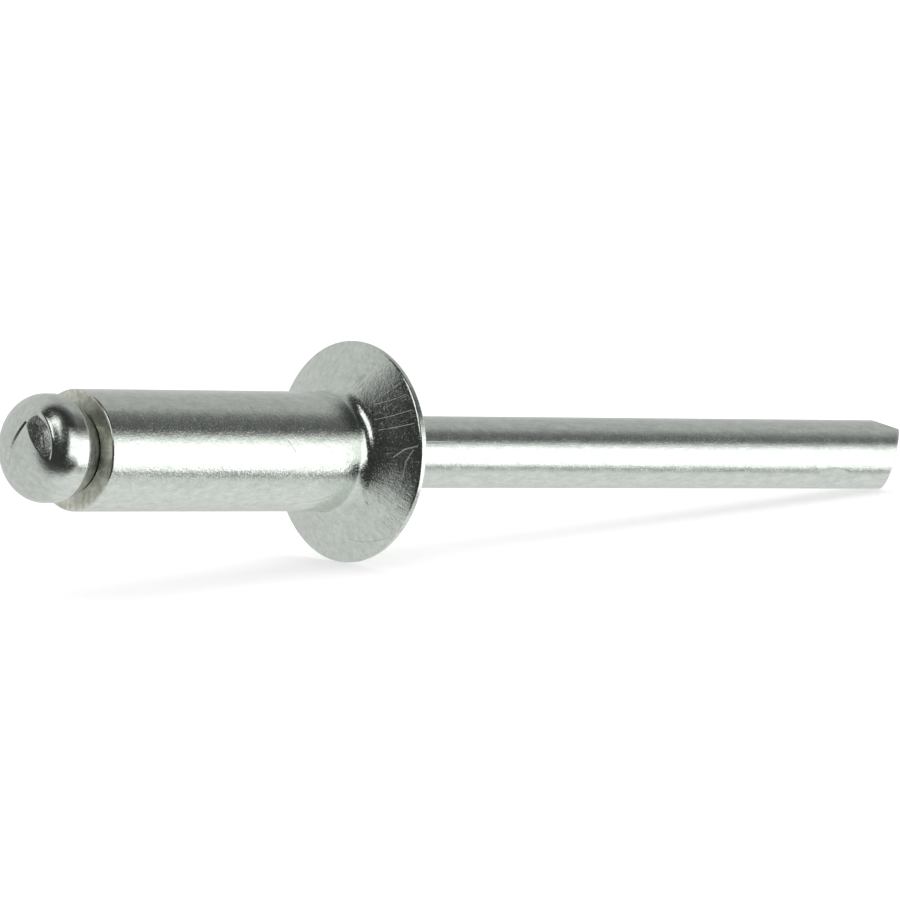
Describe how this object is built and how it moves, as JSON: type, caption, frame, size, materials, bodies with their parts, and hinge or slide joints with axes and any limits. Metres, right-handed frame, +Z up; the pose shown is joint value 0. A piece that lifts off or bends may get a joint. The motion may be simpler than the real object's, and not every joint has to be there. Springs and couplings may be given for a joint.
{
  "type": "pop rivet",
  "caption": "Countersunk open-end blind rivet, unset: an aluminium sleeve with a cone-backed flange on a drawn mandrel with a domed head and a pinch-cut tip.",
  "frame": {"origin": "the point of the table below the middle of the lying rivet's length", "axes": "+Z up from the table that the loose rivet rests on; +X along its length towards the mandrel's pulling end, which dips 5.5 degrees because the rivet rests on the flange's rim and the mandrel's tip"},
  "size_m": [0.0407, 0.0074, 0.0074],
  "materials": {
    "sleeve_aluminium": "cold-formed, tumbled bright, fine orange peel",
    "mandrel_aluminium": "drawn wire with faint lengthwise lines, upset head"
  },
  "bodies": {
    "root": {"rivet_body": "sleeve_aluminium", "mandrel": "mandrel_aluminium"}
  },
  "joints": []
}
